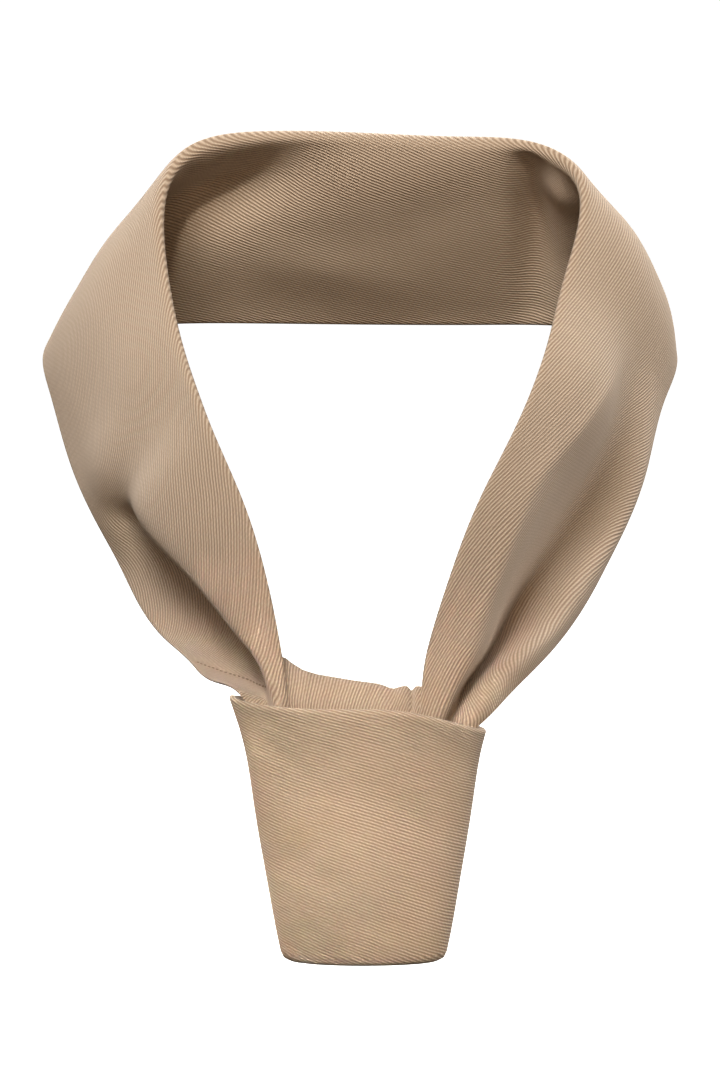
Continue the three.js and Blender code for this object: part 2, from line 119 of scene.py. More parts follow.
# %% Table of sections, in millimetres
# neck edge x, y, z, hem x, y, z, then the crest of the neck layer, the bottom of the fold and
# the lip of the hem layer, each as (share of the straight width, distance out from it), and
# last the radius of the neck roll and half the thickness of the cloth.
BAND = np.array([
    (-12, -73.5, -118, -24, -73.5, -117, .25, .6, .50, -.8, .75, .3, 1.2, 1.1),
    (-16, -71.5, -92, -28.2, -70.3, -92, .25, 1.2, .50, -1.4, .75, 0, 1.1, .9),
    (-20.3, -70.3, -74, -32.3, -68.4, -72.0, .22, 1.4, .44, -2.0, .76, -.6, 1.1, .8),
    (-20.9, -69.2, -69.5, -37.0, -64.8, -67.2, .20, 2.0, .40, -3.6, .75, -1.6, 1.1, .8),
    (-21.4, -68, -65, -42.2, -60.2, -66.6, .18, 2.8, .35, -6.3, .74, -3.0, 1.1, .8),
    (-22.7, -65, -56, -49.3, -44, -66.1, .22, 4.8, .32, -11.2, .75, -6.4, 1.4, 1.0),
    (-26.6, -58, -38, -58.2, -23, -64.2, .33, 7.0, .41, -10.8, .78, -5.6, 1.8, 1.2),
    (-33, -46, -19, -66.2, -8, -57.7, .47, 8.0, .59, -6.6, .83, -3.8, 2.2, 1.4),
    (-43.2, -27, 0, -74.0, 7, -45.6, .575, 6.9, .79, -.4, .91, .4, 2.6, 1.5),
    (-47.9, -15.8, 8.6, -79.5, 12.6, -36.5, .48, 5.2, .76, 4.4, .91, 1.9, 2.7, 1.5),
    (-52.3, -2, 18, -86.2, 26, -26, .40, 5.0, .70, 4.5, .88, 2.3, 2.8, 1.5),
    (-58.2, 24, 37, -94.4, 48, -6.5, .27, 4.0, .52, 4.9, .78, 3.2, 3, 1.5),
    (-59.5, 48, 57.5, -93.8, 67, 5.4, .25, 3.1, .50, 3.7, .75, 2.6, 3, 1.5),
    (-51.6, 60, 68.5, -71, 84, 6.9, .25, .3, .50, .2, .75, .2, 3.2, 1.5),
    (-28, 66, 72.0, -36, 88, 7.0, .22, -3.6, .47, -3.8, .75, -2.2, 3.4, 1.5),
    (30, 66, 70.3, 38, 88, 6.5, .22, -3.6, .47, -3.8, .75, -2.2, 3.4, 1.5),
    (56.2, 60.3, 68.4, 73, 84, 6.2, .25, 1.3, .50, 1.5, .75, 1.0, 3.2, 1.5),
    (67.3, 46, 58.2, 95.2, 66.5, 3.4, .25, 5.2, .50, 6.6, .75, 4.8, 3, 1.5),
    (62.2, 24, 37, 92.5, 48, -9, .32, 5.6, .58, 5.2, .82, 3.2, 3, 1.5),
    (55.6, -2, 20, 85.5, 27, -27, .40, 6.4, .745, -.8, .91, 2.5, 2.8, 1.5),
    (45.0, -27, 0, 75.4, 4, -44, .25, 6.0, .835, -6.0, .93, 2.4, 2.6, 1.4),
    (32.8, -46, -20, 66.5, -17, -55, .21, 6.2, .765, -9.0, .87, 2.2, 2.2, 1.3),
    (24.5, -58, -40, 58.8, -33, -61.6, .26, 6.0, .72, -9.5, .83, 3.2, 1.8, 1.1),
    (19.1, -65, -57, 50.6, -50, -66, .36, 4.8, .60, -8.0, .73, 3.7, 1.3, .9),
    (17.8, -68, -66, 42.8, -61.0, -70.8, .34, 3.2, .51, -5.5, .71, 2.8, 1.1, .8),
    (17, -70.3, -75.5, 36.4, -67.8, -75.7, .30, 1.8, .50, -2.6, .75, .8, 1.1, .8),
    (16.7, -70.7, -79.0, 32.2, -68.6, -79.6, .28, 1.6, .49, -2.0, .76, .3, 1.1, .8),
    (15.5, -71.5, -92, 28.8, -70.3, -94, .25, 1.4, .45, -1.5, .75, .2, 1.2, 1.0),
    (12.5, -73.5, -117, 25, -73.5, -118, .25, .6, .50, -.8, .75, .3, 1.2, 1.1),
])
RINGS = 400                 # sections of the finished band
SECTION_STEPS = 300         # places at which a section's middle line is worked out
ROLL_POINTS, BODY_POINTS, HEM_POINTS = 8, 92, 5
ROLL_REACH = 14             # mm across from the neck edge in which its roll swells the inner face
EDGE_HOLD = 4               # mm from an edge in which the presses fade out
SLOPE_STEP = 0.15           # mm to each side, over which a section's slope is taken
HAND = 0.5                  # mm, how far the cloth strays from its even form

# %% Table of presses, in millimetres
# soft hollows and rises in the flat cloth: along, across, depth away from the neck, half
# length, half width, and the turn of the long way from the band's length, in degrees
PRESSES = np.array([
    (262, 20, 9.5, 25, 10, -20),        # the hollow at the left of the nape
    (243, 36, 3.0, 9, 17, 0),           # and its outer side
    (359, 30, 7.6, 30, 6.0, 98),        # the crease across the right of the nape
    (372, 17, -3.0, 12, 8, -10),        # the bright patch beside it
    (372, 50, 2.5, 16, 14, 0),          # and the shade below
    (290, 45, -0.9, 22, 8, 10),         # two low waves in the middle of the nape
    (325, 26, 0.8, 16, 9, -30),
    (127, 47, -2.4, 13, 5, 33),         # the dimple where the left fold starts
    (470, 18.5, 1.0, 26, 3.0, -16),     # two small ridges along the right arm
    (522, 12.6, 1.0, 32, 2.6, 0),
    (524, 46, -1.6, 24, 3.0, -18),      # and a shallow channel near its end
    (65.5, 39, -0.35, 20, 1.3, 78),     # the groove that the hem's stitches lie in
])

# %% The band as a surface of two parameters
def unevenness(u, v, seed):
    """Gentle hand of the cloth, in mm: the sum of six slow waves over the flat cloth.

    Each wave is sin(k . (u, v) + phase), 22 to 60 mm long, in a direction of its own."""
    draw = np.random.default_rng(seed)
    total = np.zeros(np.broadcast(u, v).shape)
    for length, heading, phase in zip(
        draw.uniform(22, 60, 6), draw.uniform(0, math.pi, 6), draw.uniform(0, 2 * math.pi, 6)
    ):
        total += np.sin(2 * math.pi * (u * math.cos(heading) + v * math.sin(heading)) / length + phase)
    return total / 6


def pressed(u, v, table):
    """The sum of soft presses, each depth exp(-(p / half length)^2 - (q / half width)^2).

    p and q are the distances from its middle along its long way and across it."""
    total = np.zeros(np.broadcast(u, v).shape)
    for middle_u, middle_v, depth, half_length, half_width, turn in table:
        heading = math.radians(turn)
        p = (u - middle_u) * math.cos(heading) + (v - middle_v) * math.sin(heading)
        q = (v - middle_v) * math.cos(heading) - (u - middle_u) * math.sin(heading)
        total += depth * np.exp(-((p / half_length) ** 2) - (q / half_width) ** 2)
    return total


def band_sections():
    """The table read at RINGS places, evenly by the distance between the sections' middles."""
    middle = (BAND[:, :3] + BAND[:, 3:6]) / 2
    places = run(middle)
    s = np.linspace(0, places[-1], RINGS)
    return s, spline(places[None], BAND[None], s[None])[0]


def band_surface():
    """Two faces of the band as (rings, places, 3), the distance along, and the places across.

    A section's middle line is a spline through neck, crest, fold, lip and hem, in the plane of
    the section's chord c and its outward direction o. The outer face stands half a thickness
    off it, and the inner face half a thickness and the neck roll's swell,
    (roll - half) exp(-((place - roll) / reach)^2). Both close on the edges as quarter circles.
    The presses move both faces outward together, times 1 - exp(-(distance / hold)^2) for each
    edge, so the edges keep their line."""
    s, v = band_sections()
    neck, hem, roll, half = v[:, :3], v[:, 3:6], v[:, 12:13], v[:, 13:14]
    tangent = unit(np.gradient((neck + hem) / 2, s, axis=0))
    width = np.linalg.norm(hem - neck, axis=1)
    chord = (hem - neck) / width[:, None]
    out = unit(np.cross(tangent, chord))
    points = np.zeros((RINGS, 5, 2))
    points[:, 1:4] = v[:, 6:12].reshape(-1, 3, 2) * np.stack([width, np.ones(RINGS)], -1)[:, None]
    points[:, 4, 0] = width
    knots = run(points)
    fine = spline(knots, points, knots[:, -1:] * np.linspace(0, 1, SECTION_STEPS))
    walked = run(fine)
    full = walked[:, -1:]
    quarter = lambda n: 1 - np.cos(np.linspace(0, math.pi / 2, n))
    place = np.concatenate([
        roll * quarter(ROLL_POINTS),
        roll + (full - roll - half) * np.linspace(0, 1, BODY_POINTS + 2)[1:-1],
        full - half * quarter(HEM_POINTS)[::-1],
    ], 1)
    a, h = (read_rows(place, walked, fine[..., k]) for k in (0, 1))      # along the chord, outward
    ahead, behind = place + SLOPE_STEP, place - SLOPE_STEP
    slope = unit(np.stack([
        read_rows(ahead, walked, fine[..., k]) - read_rows(behind, walked, fine[..., k]) for k in (0, 1)
    ], -1))
    near = np.minimum(place / roll, 1)
    far = np.minimum((full - place) / half, 1)
    close = np.sqrt(np.clip(1 - (1 - near) ** 2, 0, 1) * np.clip(1 - (1 - far) ** 2, 0, 1))
    swell = (roll - half) * np.exp(-(np.maximum(place - roll, 0) / ROLL_REACH) ** 2)
    near_neck, near_hem = (1 - np.exp(-((gap / EDGE_HOLD) ** 2)) for gap in (place, full - place))
    inside = near_neck * near_hem
    hand = pressed(s[:, None], place, PRESSES) + HAND * unevenness(s[:, None], place, 4)
    push = (hand * inside)[..., None] * out[:, None]
    faces = []
    for lift in (half * close, -(half + swell) * close):
        across = (a - slope[..., 1] * lift)[..., None]
        upward = (h + slope[..., 0] * lift)[..., None]
        faces.append(neck[:, None] + chord[:, None] * across + out[:, None] * upward + push)
    return faces[0], faces[1], s, place, full


outer, inner, along, across, full_width = band_surface()
print("band: width of the cloth, mm, from", full_width.min().round(1), "to", full_width.max().round(1))

# %% [markdown]
# ## From a grid of points to a closed mesh
#
# Folded cloth could be drawn as one open sheet with a thickness added, but its two edges differ
# here. So it is one closed skin, worked out with both its faces: the loop of each section runs
# from the hem up the inner face, over the neck edge and down the outer face. The same loop
# gives the cloth its own flat map, in millimetres along and across, which the weave follows.
# The map is cut at the hem, where the real cloth is cut or folded too.

# %% Closed skins with a map in millimetres
def skin(name, grid, flat, closed_run=False):
    """A mesh from rings of points (n, m, 3) in mm, each ring a closed loop of m points.

    flat (n + closed_run, m + 1, 2) is the map, with the loop's last column repeating its first
    point. An open run is capped at both ends by a fan about the end ring's middle."""
    n, m = grid.shape[:2]
    rows = n if closed_run else n - 1
    i, j = np.meshgrid(np.arange(rows), np.arange(m), indexing="ij")
    i2, j2 = (i + 1) % n, (j + 1) % m
    quads = np.stack([i * m + j, i2 * m + j, i2 * m + j2, i * m + j2], -1).reshape(-1, 4)
    maps = np.stack([flat[i, j], flat[i + 1, j], flat[i + 1, j + 1], flat[i, j + 1]], 2).reshape(-1, 2)
    points = grid.reshape(-1, 3)
    corners = quads.reshape(-1)
    sizes = np.full(len(quads), 4)
    if not closed_run:
        ring = np.arange(m)
        first = np.stack([ring, (ring + 1) % m, np.full(m, n * m)], -1)
        last = np.stack([(ring + 1) % m, ring, np.full(m, n * m + 1 - (n - 1) * m)], -1) + (n - 1) * m
        caps = np.concatenate([first, last])
        points = np.concatenate([points, grid[0].mean(0)[None], grid[-1].mean(0)[None]])
        corners = np.concatenate([corners, caps.reshape(-1)])
        sizes = np.concatenate([sizes, np.full(len(caps), 3)])
        maps = np.concatenate([maps, np.zeros((caps.size, 2))])
    mesh = bpy.data.meshes.new(name)
    mesh.vertices.add(len(points))
    mesh.vertices.foreach_set("co", (points * MM).astype(np.float32).reshape(-1))
    mesh.loops.add(len(corners))
    mesh.loops.foreach_set("vertex_index", corners.astype(np.int32))
    mesh.polygons.add(len(sizes))
    mesh.polygons.foreach_set("loop_start", (np.cumsum(sizes) - sizes).astype(np.int32))
    mesh.polygons.foreach_set("use_smooth", np.ones(len(sizes), bool))
    mesh.update(calc_edges=True)
    layer = mesh.uv_layers.new(name="weave")
    layer.data.foreach_set("uv", maps.astype(np.float32).reshape(-1))
    mesh.validate()
    piece = bpy.data.objects.new(name, mesh)
    bpy.context.scene.collection.objects.link(piece)
    return face_out(piece)


def face_out(piece):
    """Turns the faces round if the mesh's signed volume, the sum of p . (q x r) / 6, is below 0."""
    mesh = piece.data
    mesh.calc_loop_triangles()
    corner = np.zeros(len(mesh.loop_triangles) * 3, np.int32)
    mesh.loop_triangles.foreach_get("vertices", corner)
    co = np.zeros(len(mesh.vertices) * 3, np.float32)
    mesh.vertices.foreach_get("co", co)
    p, q, r = np.moveaxis(co.reshape(-1, 3).astype(float)[corner.reshape(-1, 3)], 1, 0)
    volume = (p * np.cross(q, r)).sum() / 6
    if volume < 0:
        mesh.flip_normals()
    print(f"{piece.name}: {len(corner) // 3} triangles, {abs(volume) / MM**3 / 1000:.1f} cm3")
    return piece

# %% Make the band
loop = np.concatenate([inner[:, ::-1], outer[:, 1:-1]], 1)
reach = np.concatenate([-across[:, ::-1], across[:, 1:]], 1)
flat = np.stack([np.broadcast_to(along[:, None], reach.shape), reach], -1)
neck_band = skin("neck_band_cloth", loop, flat)

# %% [markdown]
# ## The hem's stitches
#
# The triangle's own hem crosses the left arm just above the knot. Its thread shows as a row of
# short stitches, sunk between the lines of the twill. A painted dash would lie flat, so each
# stitch is a small closed bead, long along the row, set half its height into the cloth.

# %% Points on the band's outer face
def on_face(u, v):
    """Points and outward normals of the outer face at distances along and across, in mm.

    Between the grid's points the face is read bilinearly, and the normal is the cross product
    of its two differences."""
    def read(u, v):
        ring = np.interp(u, along, np.arange(RINGS))
        low = np.minimum(ring.astype(int), RINGS - 2)
        part = (ring - low)[:, None]
        sides = []
        for r in (low, low + 1):
            place = np.array([np.interp(b, across[a], np.arange(across.shape[1])) for a, b in zip(r, v)])
            left = np.minimum(place.astype(int), across.shape[1] - 2)
            share = (place - left)[:, None]
            sides.append(outer[r, left] * (1 - share) + outer[r, left + 1] * share)
        return sides[0] * (1 - part) + sides[1] * part

    here = read(u, v)
    normal = unit(np.cross(read(u + 0.5, v) - here, read(u, v + 0.5) - here))
    return here, normal


# %% Closed beads
BEAD_STEPS, BEAD_SIDES = 8, 8


def beads(name, first, last, normal, radius):
    """One closed bead for each stitch: an ellipsoid from first to last, radius thick.

    Its points are middle + half cos(ring) + radius sin(ring) (side cos(turn) + normal sin(turn)),
    with one more point at each tip."""
    ring, turn = np.meshgrid(
        np.linspace(0, math.pi, BEAD_STEPS + 1)[1:-1],
        np.linspace(0, 2 * math.pi, BEAD_SIDES, endpoint=False), indexing="ij",
    )
    ring, turn = ring[None, ..., None], turn[None, ..., None]
    middle, half = (first + last) / 2, (last - first) / 2
    side = unit(np.cross(normal, half))
    girth = side[:, None, None] * np.cos(turn) + normal[:, None, None] * np.sin(turn)
    body = middle[:, None, None] + half[:, None, None] * np.cos(ring) + radius * np.sin(ring) * girth
    n, rows, m = body.shape[:3]
    each = rows * m + 2
    tips = [(middle + half)[:, None], (middle - half)[:, None]]
    points = np.concatenate([body.reshape(n, -1, 3)] + tips, 1)
    i, j = (a.reshape(-1) for a in np.meshgrid(np.arange(rows - 1), np.arange(m), indexing="ij"))
    quads = np.stack([i * m + j, (i + 1) * m + j, (i + 1) * m + (j + 1) % m, i * m + (j + 1) % m], -1)
    j = np.arange(m)
    caps = np.concatenate([
        np.stack([(j + 1) % m, np.full(m, rows * m), j], -1),
        np.stack([(rows - 1) * m + j, np.full(m, rows * m + 1), (rows - 1) * m + (j + 1) % m], -1),
    ])
    faces = [face for k in range(n) for part in (quads, caps) for face in (part + k * each).tolist()]
    mesh = bpy.data.meshes.new(name)
    mesh.from_pydata((points.reshape(-1, 3) * MM).tolist(), [], faces)
    mesh.polygons.foreach_set("use_smooth", np.ones(len(mesh.polygons), bool))
    piece = bpy.data.objects.new(name, mesh)
    bpy.context.scene.collection.objects.link(piece)
    return face_out(piece)

# %% Sew the row
# the row across the left arm, in mm: distance along, distance across
HEM_ROW = np.array([
    (68.9, 54.4), (67.3, 49.0), (66, 42.5), (65.5, 38.5), (64.6, 33), (62.7, 26.7), (61.5, 22),
])
STITCH_START, STITCH_PITCH, STITCH_LENGTH, STITCH_RADIUS = 0.4, 1.7, 1.2, 0.28
row_run = run(HEM_ROW)
starts = np.arange(STITCH_START, row_run[-1] - STITCH_LENGTH, STITCH_PITCH)
(first, normal), (last, _) = (
    on_face(*(np.interp(starts + reach, row_run, HEM_ROW[:, k]) for k in (0, 1)))
    for reach in (0, STITCH_LENGTH)
)
stitches = beads("hem_stitches", first, last, normal, STITCH_RADIUS)
print("hem stitches:", len(starts))

# %% [markdown]
# ## The knot's wrap
#
# The wrap is one pass of the band carried round both arms, so it is a flattened sleeve: broad at
# its rim, narrow at its foot, where the cloth turns under. It is a closed profile, up the outer
# face, over the rim, down the inner face and round the turned lip, carried round a flattened
# oval. Hands leave soft dents in such a panel, and they are added as shallow round hollows.

# %% Tables of the knot, in millimetres
KNOT_FOOT, KNOT_RIM, KNOT_BACK_DROP, WALL = -146.3, -70.0, 2.9, 2.5
# level from foot to rim, middle x, half width, middle y, half depth
KNOT = np.array([
    (0.00, 1.1, 23.6, -76.5, 8.2),
    (0.08, 1.1, 24.9, -76.0, 8.8),
    (0.30, 1.0, 27.9, -74.0, 9.6),
    (0.60, 0.8, 31.6, -71.0, 10.2),
    (0.85, 0.3, 34.5, -68.6, 10.6),
    (1.00, -0.7, 37.4, -67.5, 10.8),
])
# the lip turned under at the foot: rise above the foot, distance in from the outer face
KNOT_LIP = np.array([
    (3.2, 3.2), (2.6, 5.0), (2.3, 6.6), (1.3, 7.2), (0.3, 6.4), (0, 4.4), (0.25, 2.2), (1.4, 0.4),
])
COLUMNS = 420
OUTER_POINTS, RIM_POINTS, INNER_POINTS, LIP_POINTS = 90, 13, 60, 36
GIRTH_POINT = 40                    # the outer face's point, near half way up, to measure the girth
OUTER_START, INNER_END = 3, 4.4     # mm above the foot, where the two faces meet the turned lip
KNOT_HAND = 0.35                    # mm, how far the front panel strays from its even form
RIM_FADE = (0.93, 0.05)             # level where the dents start to fade, and how fast
# soft presses in the front panel: x, z, depth, half length, half width, turn in degrees
DENTS = np.array([
    (-20.5, -115, 1.9, 8, 5.5, 25),
    (-9, -120.5, 0.9, 4.5, 3.5, 10),
    (-16, -136, 1.2, 5, 3.5, 20),
    (-25, -82, 1.0, 9, 3, -40),
    (30, -84, 0.5, 7, 1.6, 35),
    (-19, -141.5, 0.8, 5, 1.2, -55),
    (10, -100, 0.8, 16, 7, -20),
    (16, -128, 0.6, 9, 5, 30),
])

# %% The knot as a surface
def rim_drop(x):
    """The rim falls by 8.5 t^1.8 towards the right corner and rises by 1.5 t^2 at the left one."""
    right = 8.5 * np.clip((x - 4) / 32, 0, 1.2) ** 1.8
    left = 1.5 * np.clip((-x - 12) / 25, 0, 1.2) ** 2
    return right - left


def knot_profile():
    """The wall's closed section as (rise above the foot, distance in from the outer face)."""
    height = KNOT_RIM - KNOT_FOOT
    half = WALL / 2
    turn = np.linspace(0, math.pi, RIM_POINTS)
    up = np.linspace(OUTER_START, height - half, OUTER_POINTS)
    down = np.linspace(height - half, INNER_END, INNER_POINTS)
    lip_run = run(KNOT_LIP)
    lip = spline(lip_run[None], KNOT_LIP[None], np.linspace(0, lip_run[-1], LIP_POINTS)[None])[0]
    return np.concatenate([
        np.stack([up, 0 * up], -1),
        np.stack([height - half + half * np.sin(turn), half - half * np.cos(turn)], -1)[1:-1],
        np.stack([down, 0 * down + WALL], -1),
        lip,
    ])


def knot_surface():
    """Columns of the profile round a flattened oval, x = c^0.92 and y = s^0.8 of its half sizes.

    The dents act on the front only and fade near the rim, as exp(-((level - start) / pace)^2)
    above the level where that starts. The rim's drop and the back's grow as level^3."""
    height = KNOT_RIM - KNOT_FOOT
    profile = knot_profile()
    level = profile[:, 0] / height
    middle_x, half_x, middle_y, half_y = spline(KNOT[None, :, 0], KNOT[None, :, 1:], level[None])[0].T
    angle = np.linspace(0, 2 * math.pi, COLUMNS, endpoint=False)[:, None] + math.pi / 2
    sideways = np.sign(np.cos(angle)) * np.abs(np.cos(angle)) ** 0.92
    backward = np.sign(np.sin(angle)) * np.abs(np.sin(angle)) ** 0.8
    inset = profile[:, 1]
    x = middle_x + sideways * (half_x - inset)
    y = middle_y + backward * np.maximum(half_y - inset, 0.3)
    fade_from, fade_pace = RIM_FADE
    front = np.sqrt(np.clip(-backward, 0, 1))
    front = front * np.exp(-((np.maximum(level - fade_from, 0) / fade_pace) ** 2))
    even_z = KNOT_FOOT + profile[None, :, 0]
    y = y + front * (pressed(x, even_z, DENTS) + KNOT_HAND * unevenness(x, even_z, 9))
    z = even_z - (rim_drop(x) + KNOT_BACK_DROP * np.maximum(backward, 0)) * level**3
    return np.stack([x, y, z], -1), profile


knot_grid, profile = knot_surface()
ring_run = run(np.concatenate([knot_grid, knot_grid[:1]])[:, GIRTH_POINT])
loop_run = run(np.concatenate([profile, profile[:1]]))
flat = np.stack(np.broadcast_arrays(ring_run[:, None], loop_run[None]), -1)
knot_wrap = skin("knot_wrap_cloth", knot_grid, flat, closed_run=True)

# %% [markdown]
# ## The tucked pass
#
# Behind the panel the last of the cloth comes up from below, bends over the knot's back rim and
# goes down between the arms. It shows as a small saddle. A flat strip carried along a bent
# middle line gives it, with its top edge lifted at the left, where it disappears behind the arm.

# %% Tables of the tuck, in millimetres
# middle line y, z, half width, middle x
TUCK = np.array([
    (-61.4, -118, 14, .5), (-58.7, -100, 17, 0), (-56.3, -84, 19, -1.2), (-54.9, -73.2, 21, -2.3),
    (-55.6, -69.7, 21.4, -2.5), (-58.1, -68.0, 21.4, -2.5), (-61.5, -69.2, 20.8, -2.3),
    (-64.6, -71.8, 20.2, -2.2), (-66.4, -75.2, 19.4, -2.1), (-67.0, -81, 16, -1.2),
    (-67.6, -90, 14, -.6), (-68, -100, 12, 0),
])
TUCK_BOW = 0.0025           # the strip's bow towards the front at its sides, times x^2
# the top edge: x, rise
TUCK_TOP = np.array([
    (-24, 8.6), (-21.5, 7.2), (-20, 5.7), (-16.5, 3.2), (-12.5, 1.8),
    (-3, 0), (4, -.9), (9.5, -1.9), (15, -1.4), (20, -1.2),
])
TUCK_TOP_ROW = 5            # the row of TUCK that is the top of the bend
TUCK_TOP_REACH = 14         # mm along the strip in which the rise fades
# grooves down from the top edge: x, depth, half width
TUCK_GROOVES = ((9.4, 0.7, 2.2), (15.0, 1.5, 0.8))
TUCK_RINGS, TUCK_POINTS = 160, 120

# %% The tuck as a surface
def tuck_surface():
    """A strip WALL thick with rounded sides, carried along the middle line.

    Round the strip x is c^0.35 of its half width and the lift off the middle line s^0.8 of half
    the wall. The top's rise fades as exp(-(distance from the top / reach)^2), and each groove
    takes depth exp(-((x - middle) / half width)^2) from the height."""
    places = run(TUCK[:, :2])
    s = np.linspace(0, places[-1], TUCK_RINGS)
    y, z, half_width, middle_x = spline(places[None], TUCK[None], s[None])[0].T[..., None]
    slope = unit(np.stack([np.gradient(y[:, 0], s), np.gradient(z[:, 0], s)], -1))
    angle = np.linspace(0, 2 * math.pi, TUCK_POINTS, endpoint=False)
    x = middle_x + half_width * np.sign(np.cos(angle)) * np.abs(np.cos(angle)) ** 0.35
    thick = WALL / 2 * np.sign(np.sin(angle)) * np.abs(np.sin(angle)) ** 0.8
    near_top = np.exp(-(((s - places[TUCK_TOP_ROW]) / TUCK_TOP_REACH) ** 2))[:, None]
    rise = near_top * np.interp(x, TUCK_TOP[:, 0], TUCK_TOP[:, 1])
    for middle, depth, reach in TUCK_GROOVES:
        rise = rise - depth * np.exp(-(((x - middle) / reach) ** 2))
    y = y - slope[:, 1:] * thick - TUCK_BOW * x * x
    z = z + slope[:, :1] * thick + rise
    return np.stack([x, y, z], -1), s


tuck_grid, tuck_along = tuck_surface()
round_run = run(np.concatenate([tuck_grid, tuck_grid[:, :1]], 1)[TUCK_RINGS // 2])
flat = np.stack(np.broadcast_arrays(tuck_along[:, None], round_run[None]), -1)
tuck_pass = skin("tuck_pass_cloth", tuck_grid, flat)

# %% [markdown]
# ## The twill
#
# Twill shows fine raised lines, here 0.87 mm apart and turned about 19 degrees from the length of
# the band, because the cloth is folded along its bias. Each line is a row of short floats, so
# close by it looks like a thin twisted cord. An image would be simplest, but a pattern worked
# out from the flat map follows every fold and stays sharp. Two waves make it: one across the
# lines, and one along them that steps over from line to line. Height drives the bump, and the
# gaps between the lines are a deeper colour, as light is lost there.

# %% Sizes and colours of the twill
TWILL_PITCH = 0.87                   # mm from line to line
TWILL_TURN = math.radians(19)        # the lines fall this far clockwise from the cloth's length
FLOAT_LENGTH = 1.5                   # mm, one float along its line
FLOAT_DIP = 0.2                      # how far a line sinks between two floats, as a share
FLOAT_STEP = 0.62                    # how far the floats step on from one line to the next
WANDER = 0.6                         # pitches, how far a line strays from straight
RELIEF = 0.00024                     # m, the height of a line
FUZZ = 0.12                          # the height of the fibres, as a share of a line's
LINE_SHADE, FIBRE_TINT = 0.8, 0.28    # how much the lines' height lightens the cloth, leaving painted shade in the gaps between them, and how much the fibres tint it
# the cloth's colour on the tops of the lines, and the deep colour, which is painted shade in the gaps
# between them and the fibres' darker tone
CLOTH_LIGHT = (0.665, 0.520, 0.378, 1)
CLOTH_DEEP = (0.270, 0.172, 0.104, 1)

# %% Steps of arithmetic as nodes
def add(nodes, kind, **settings):
    """A node with its inputs set by name, with underscores for spaces."""
    node = nodes.new(kind)
    for key, value in settings.items():
        if hasattr(node, key):
            setattr(node, key, value)
        else:
            node.inputs[key.replace("_", " ")].default_value = value
    return node


def maths(tree, operation, first, second=None, clamp=False):
    """One step of arithmetic. A number is set on the socket, and anything else is linked."""
    node = tree.nodes.new("ShaderNodeMath")
    node.operation = operation
    node.use_clamp = clamp
    for socket, value in zip(node.inputs, (first, second)):
        if value is None:
            continue
        if isinstance(value, (int, float)):
            socket.default_value = value
        else:
            tree.links.new(value, socket)
    return node.outputs[0]


def wave(tree, phase):
    """0.5 + 0.5 sin(2 pi phase)."""
    turned = maths(tree, "MULTIPLY", phase, 2 * math.pi)
    swing = maths(tree, "SINE", turned)
    return maths(tree, "ADD", maths(tree, "MULTIPLY", swing, 0.5), 0.5)


# %% The lines and the fibres
def twill_lines(tree):
    """The height of the lines and the share of fibres, both from 0 to 1, as two outputs.

    The flat map is turned along the lines. A line's height is 0.5 + 0.5 sin(2 pi y / pitch),
    with y straying by a slow noise, times 1 - dip + dip (0.5 + 0.5 sin(2 pi x / float length))."""
    flat_map = tree.nodes.new("ShaderNodeUVMap")
    flat_map.uv_map = "weave"
    turned = tree.nodes.new("ShaderNodeMapping")
    turned.inputs["Rotation"].default_value = (0, 0, TWILL_TURN)
    tree.links.new(flat_map.outputs[0], turned.inputs["Vector"])
    axes = tree.nodes.new("ShaderNodeSeparateXYZ")
    tree.links.new(turned.outputs[0], axes.inputs[0])
    drift = add(tree.nodes, "ShaderNodeTexNoise", Scale=0.11, Detail=2.0)
    tree.links.new(flat_map.outputs[0], drift.inputs["Vector"])
    wander = maths(tree, "MULTIPLY", maths(tree, "SUBTRACT", drift.outputs["Fac"], 0.5), WANDER)
    line = maths(tree, "ADD", maths(tree, "DIVIDE", axes.outputs["Y"], TWILL_PITCH), wander)
    rib = wave(tree, line)
    step = maths(tree, "MULTIPLY", line, FLOAT_STEP)
    cut = wave(tree, maths(tree, "ADD", maths(tree, "DIVIDE", axes.outputs["X"], FLOAT_LENGTH), step))
    float_share = maths(tree, "ADD", maths(tree, "MULTIPLY", cut, FLOAT_DIP), 1 - FLOAT_DIP)
    height = maths(tree, "MULTIPLY", rib, float_share)

    fibres = add(tree.nodes, "ShaderNodeTexNoise", Scale=3.2, Detail=3.0, Roughness=0.65)
    stretch = tree.nodes.new("ShaderNodeMapping")
    stretch.inputs["Scale"].default_value = (0.35, 1.6, 1)
    tree.links.new(turned.outputs[0], stretch.inputs["Vector"])
    tree.links.new(stretch.outputs[0], fibres.inputs["Vector"])
    return height, fibres.outputs["Fac"]

# %% The finished twill
def two_tone(tree, share, deep, light):
    """The shader's colour goes from deep to light as share goes from 0 to 1."""
    blend = tree.nodes.new("ShaderNodeMix")
    blend.data_type = "RGBA"
    blend.inputs["A"].default_value = deep
    blend.inputs["B"].default_value = light
    tree.links.new(share, blend.inputs["Factor"])
    shader = tree.nodes["Principled BSDF"]
    tree.links.new(blend.outputs["Result"], shader.inputs["Base Color"])
    return shader


